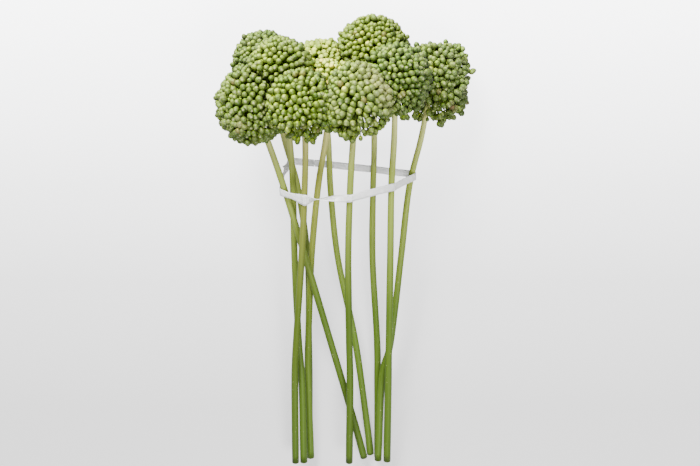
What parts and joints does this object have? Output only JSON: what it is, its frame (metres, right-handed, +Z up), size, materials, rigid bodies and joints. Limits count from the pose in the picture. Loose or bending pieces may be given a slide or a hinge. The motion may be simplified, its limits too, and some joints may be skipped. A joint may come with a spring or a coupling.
{
  "type": "bunch of allium flowers",
  "caption": "Bunch of long-stemmed allium flowers in green bud, their round heads packed together and a ribbon loosely round the stems, laid down to be placed on a table or in a vase.",
  "frame": {"origin": "middle of the bunch's bounding box, on the surface that the bunch lies on", "axes": "+Y along the stems towards the heads, +Z up from the surface, +X across the bunch to the right as seen from above with the heads at the top"},
  "size_m": [0.2741, 0.5427, 0.1789],
  "materials": {
    "buds_fresh": "waxy fresh green buds with pale tops",
    "buds_grey": "waxy green buds with a greyish bloom",
    "buds_yellow": "waxy yellow-green buds",
    "stem_green": "smooth green stem with fine lengthwise lines, paler below the head",
    "stem_olive": "smooth olive stem with a brownish flush below the head",
    "ribbon_white": "thin white satin polypropylene ribbon"
  },
  "bodies": {
    "root": {"head_left_front": "buds_fresh", "stem_left_front": "stem_green", "head_left_back": "buds_grey", "stem_left_back": "stem_green", "head_left_middle": "buds_fresh", "stem_left_middle": "stem_green", "head_centre_front": "buds_yellow", "stem_centre_front": "stem_olive", "head_centre_middle": "buds_yellow", "stem_centre_middle": "stem_olive", "head_centre_back": "buds_fresh", "stem_centre_back": "stem_green", "head_right_front": "buds_grey", "stem_right_front": "stem_green", "head_top": "buds_fresh", "stem_top": "stem_green", "head_right_middle": "buds_grey", "stem_right_middle": "stem_green", "head_right_side": "buds_grey", "stem_right_side": "stem_green", "ribbon": "ribbon_white"}
  },
  "joints": []
}
